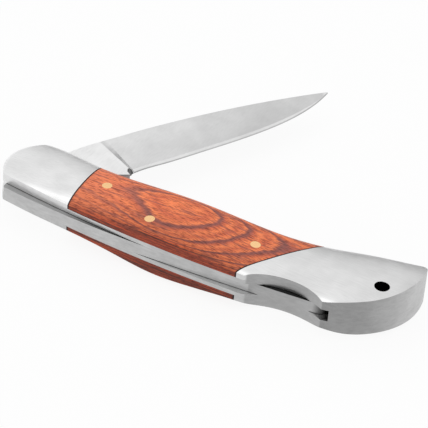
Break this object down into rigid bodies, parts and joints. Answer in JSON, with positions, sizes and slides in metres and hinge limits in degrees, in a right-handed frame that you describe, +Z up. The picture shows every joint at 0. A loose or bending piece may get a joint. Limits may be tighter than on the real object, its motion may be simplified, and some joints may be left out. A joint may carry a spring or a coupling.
{
  "type": "folding pocket knife",
  "caption": "Lockback folding knife: wood scales between steel bolsters, a rocking lock bar in the spine, a thumb notch, a curved butt with a lanyard hole, and a ground blade shown half open.",
  "frame": {"origin": "on the lanyard hole's axis at mid-thickness of the handle", "axes": "+X along the handle from the blade pivot to the butt, +Y from the spine to the belly, +Z up along every pin; the knife lies on its side"},
  "size_m": [0.1174, 0.098, 0.0148],
  "materials": {
    "blade_steel": "satin, fine grind lines across the blade",
    "bar_steel": "satin",
    "liner_steel": "satin, ground edges",
    "bolster_steel": "satin, brushed lengthwise",
    "scale_wood": "polished laminated wood, reddish brown with darker figure",
    "pin_brass": "polished flush"
  },
  "bodies": {
    "handle": {"upper_liner": "liner_steel", "lower_liner": "liner_steel", "upper_front_bolster": "bolster_steel", "lower_front_bolster": "bolster_steel", "upper_scale": "scale_wood", "lower_scale": "scale_wood", "upper_rear_bolster": "bolster_steel", "lower_rear_bolster": "bolster_steel", "butt_spacer": "bolster_steel", "lock_spring": "bar_steel", "pivot_pin": "bolster_steel", "rocker_pin": "pin_brass", "butt_pins": "bolster_steel", "upper_front_rivet": "pin_brass", "lower_front_rivet": "pin_brass", "upper_rear_rivet": "pin_brass", "lower_rear_rivet": "pin_brass", "upper_front_bolster_rivets": "bolster_steel", "lower_front_bolster_rivets": "bolster_steel"},
    "blade": {"blade": "blade_steel"},
    "lock_bar": {"lock_bar": "bar_steel"}
  },
  "joints": [
    {"name": "blade_pivot", "type": "hinge", "parent": "handle", "child": "blade", "pos_m": [-0.0984, -0.0047, 0], "axis": [0, 0, 1], "range_deg": [-57.5, 122.5]},
    {"name": "lock_rock", "type": "hinge", "parent": "handle", "child": "lock_bar", "pos_m": [-0.0625, -0.0115, 0], "axis": [0, 0, 1], "range_deg": [0, 2], "stiffness_Nm_per_rad": 8, "springref_deg": -2.86, "deforming": ["lock_spring"]}
  ]
}
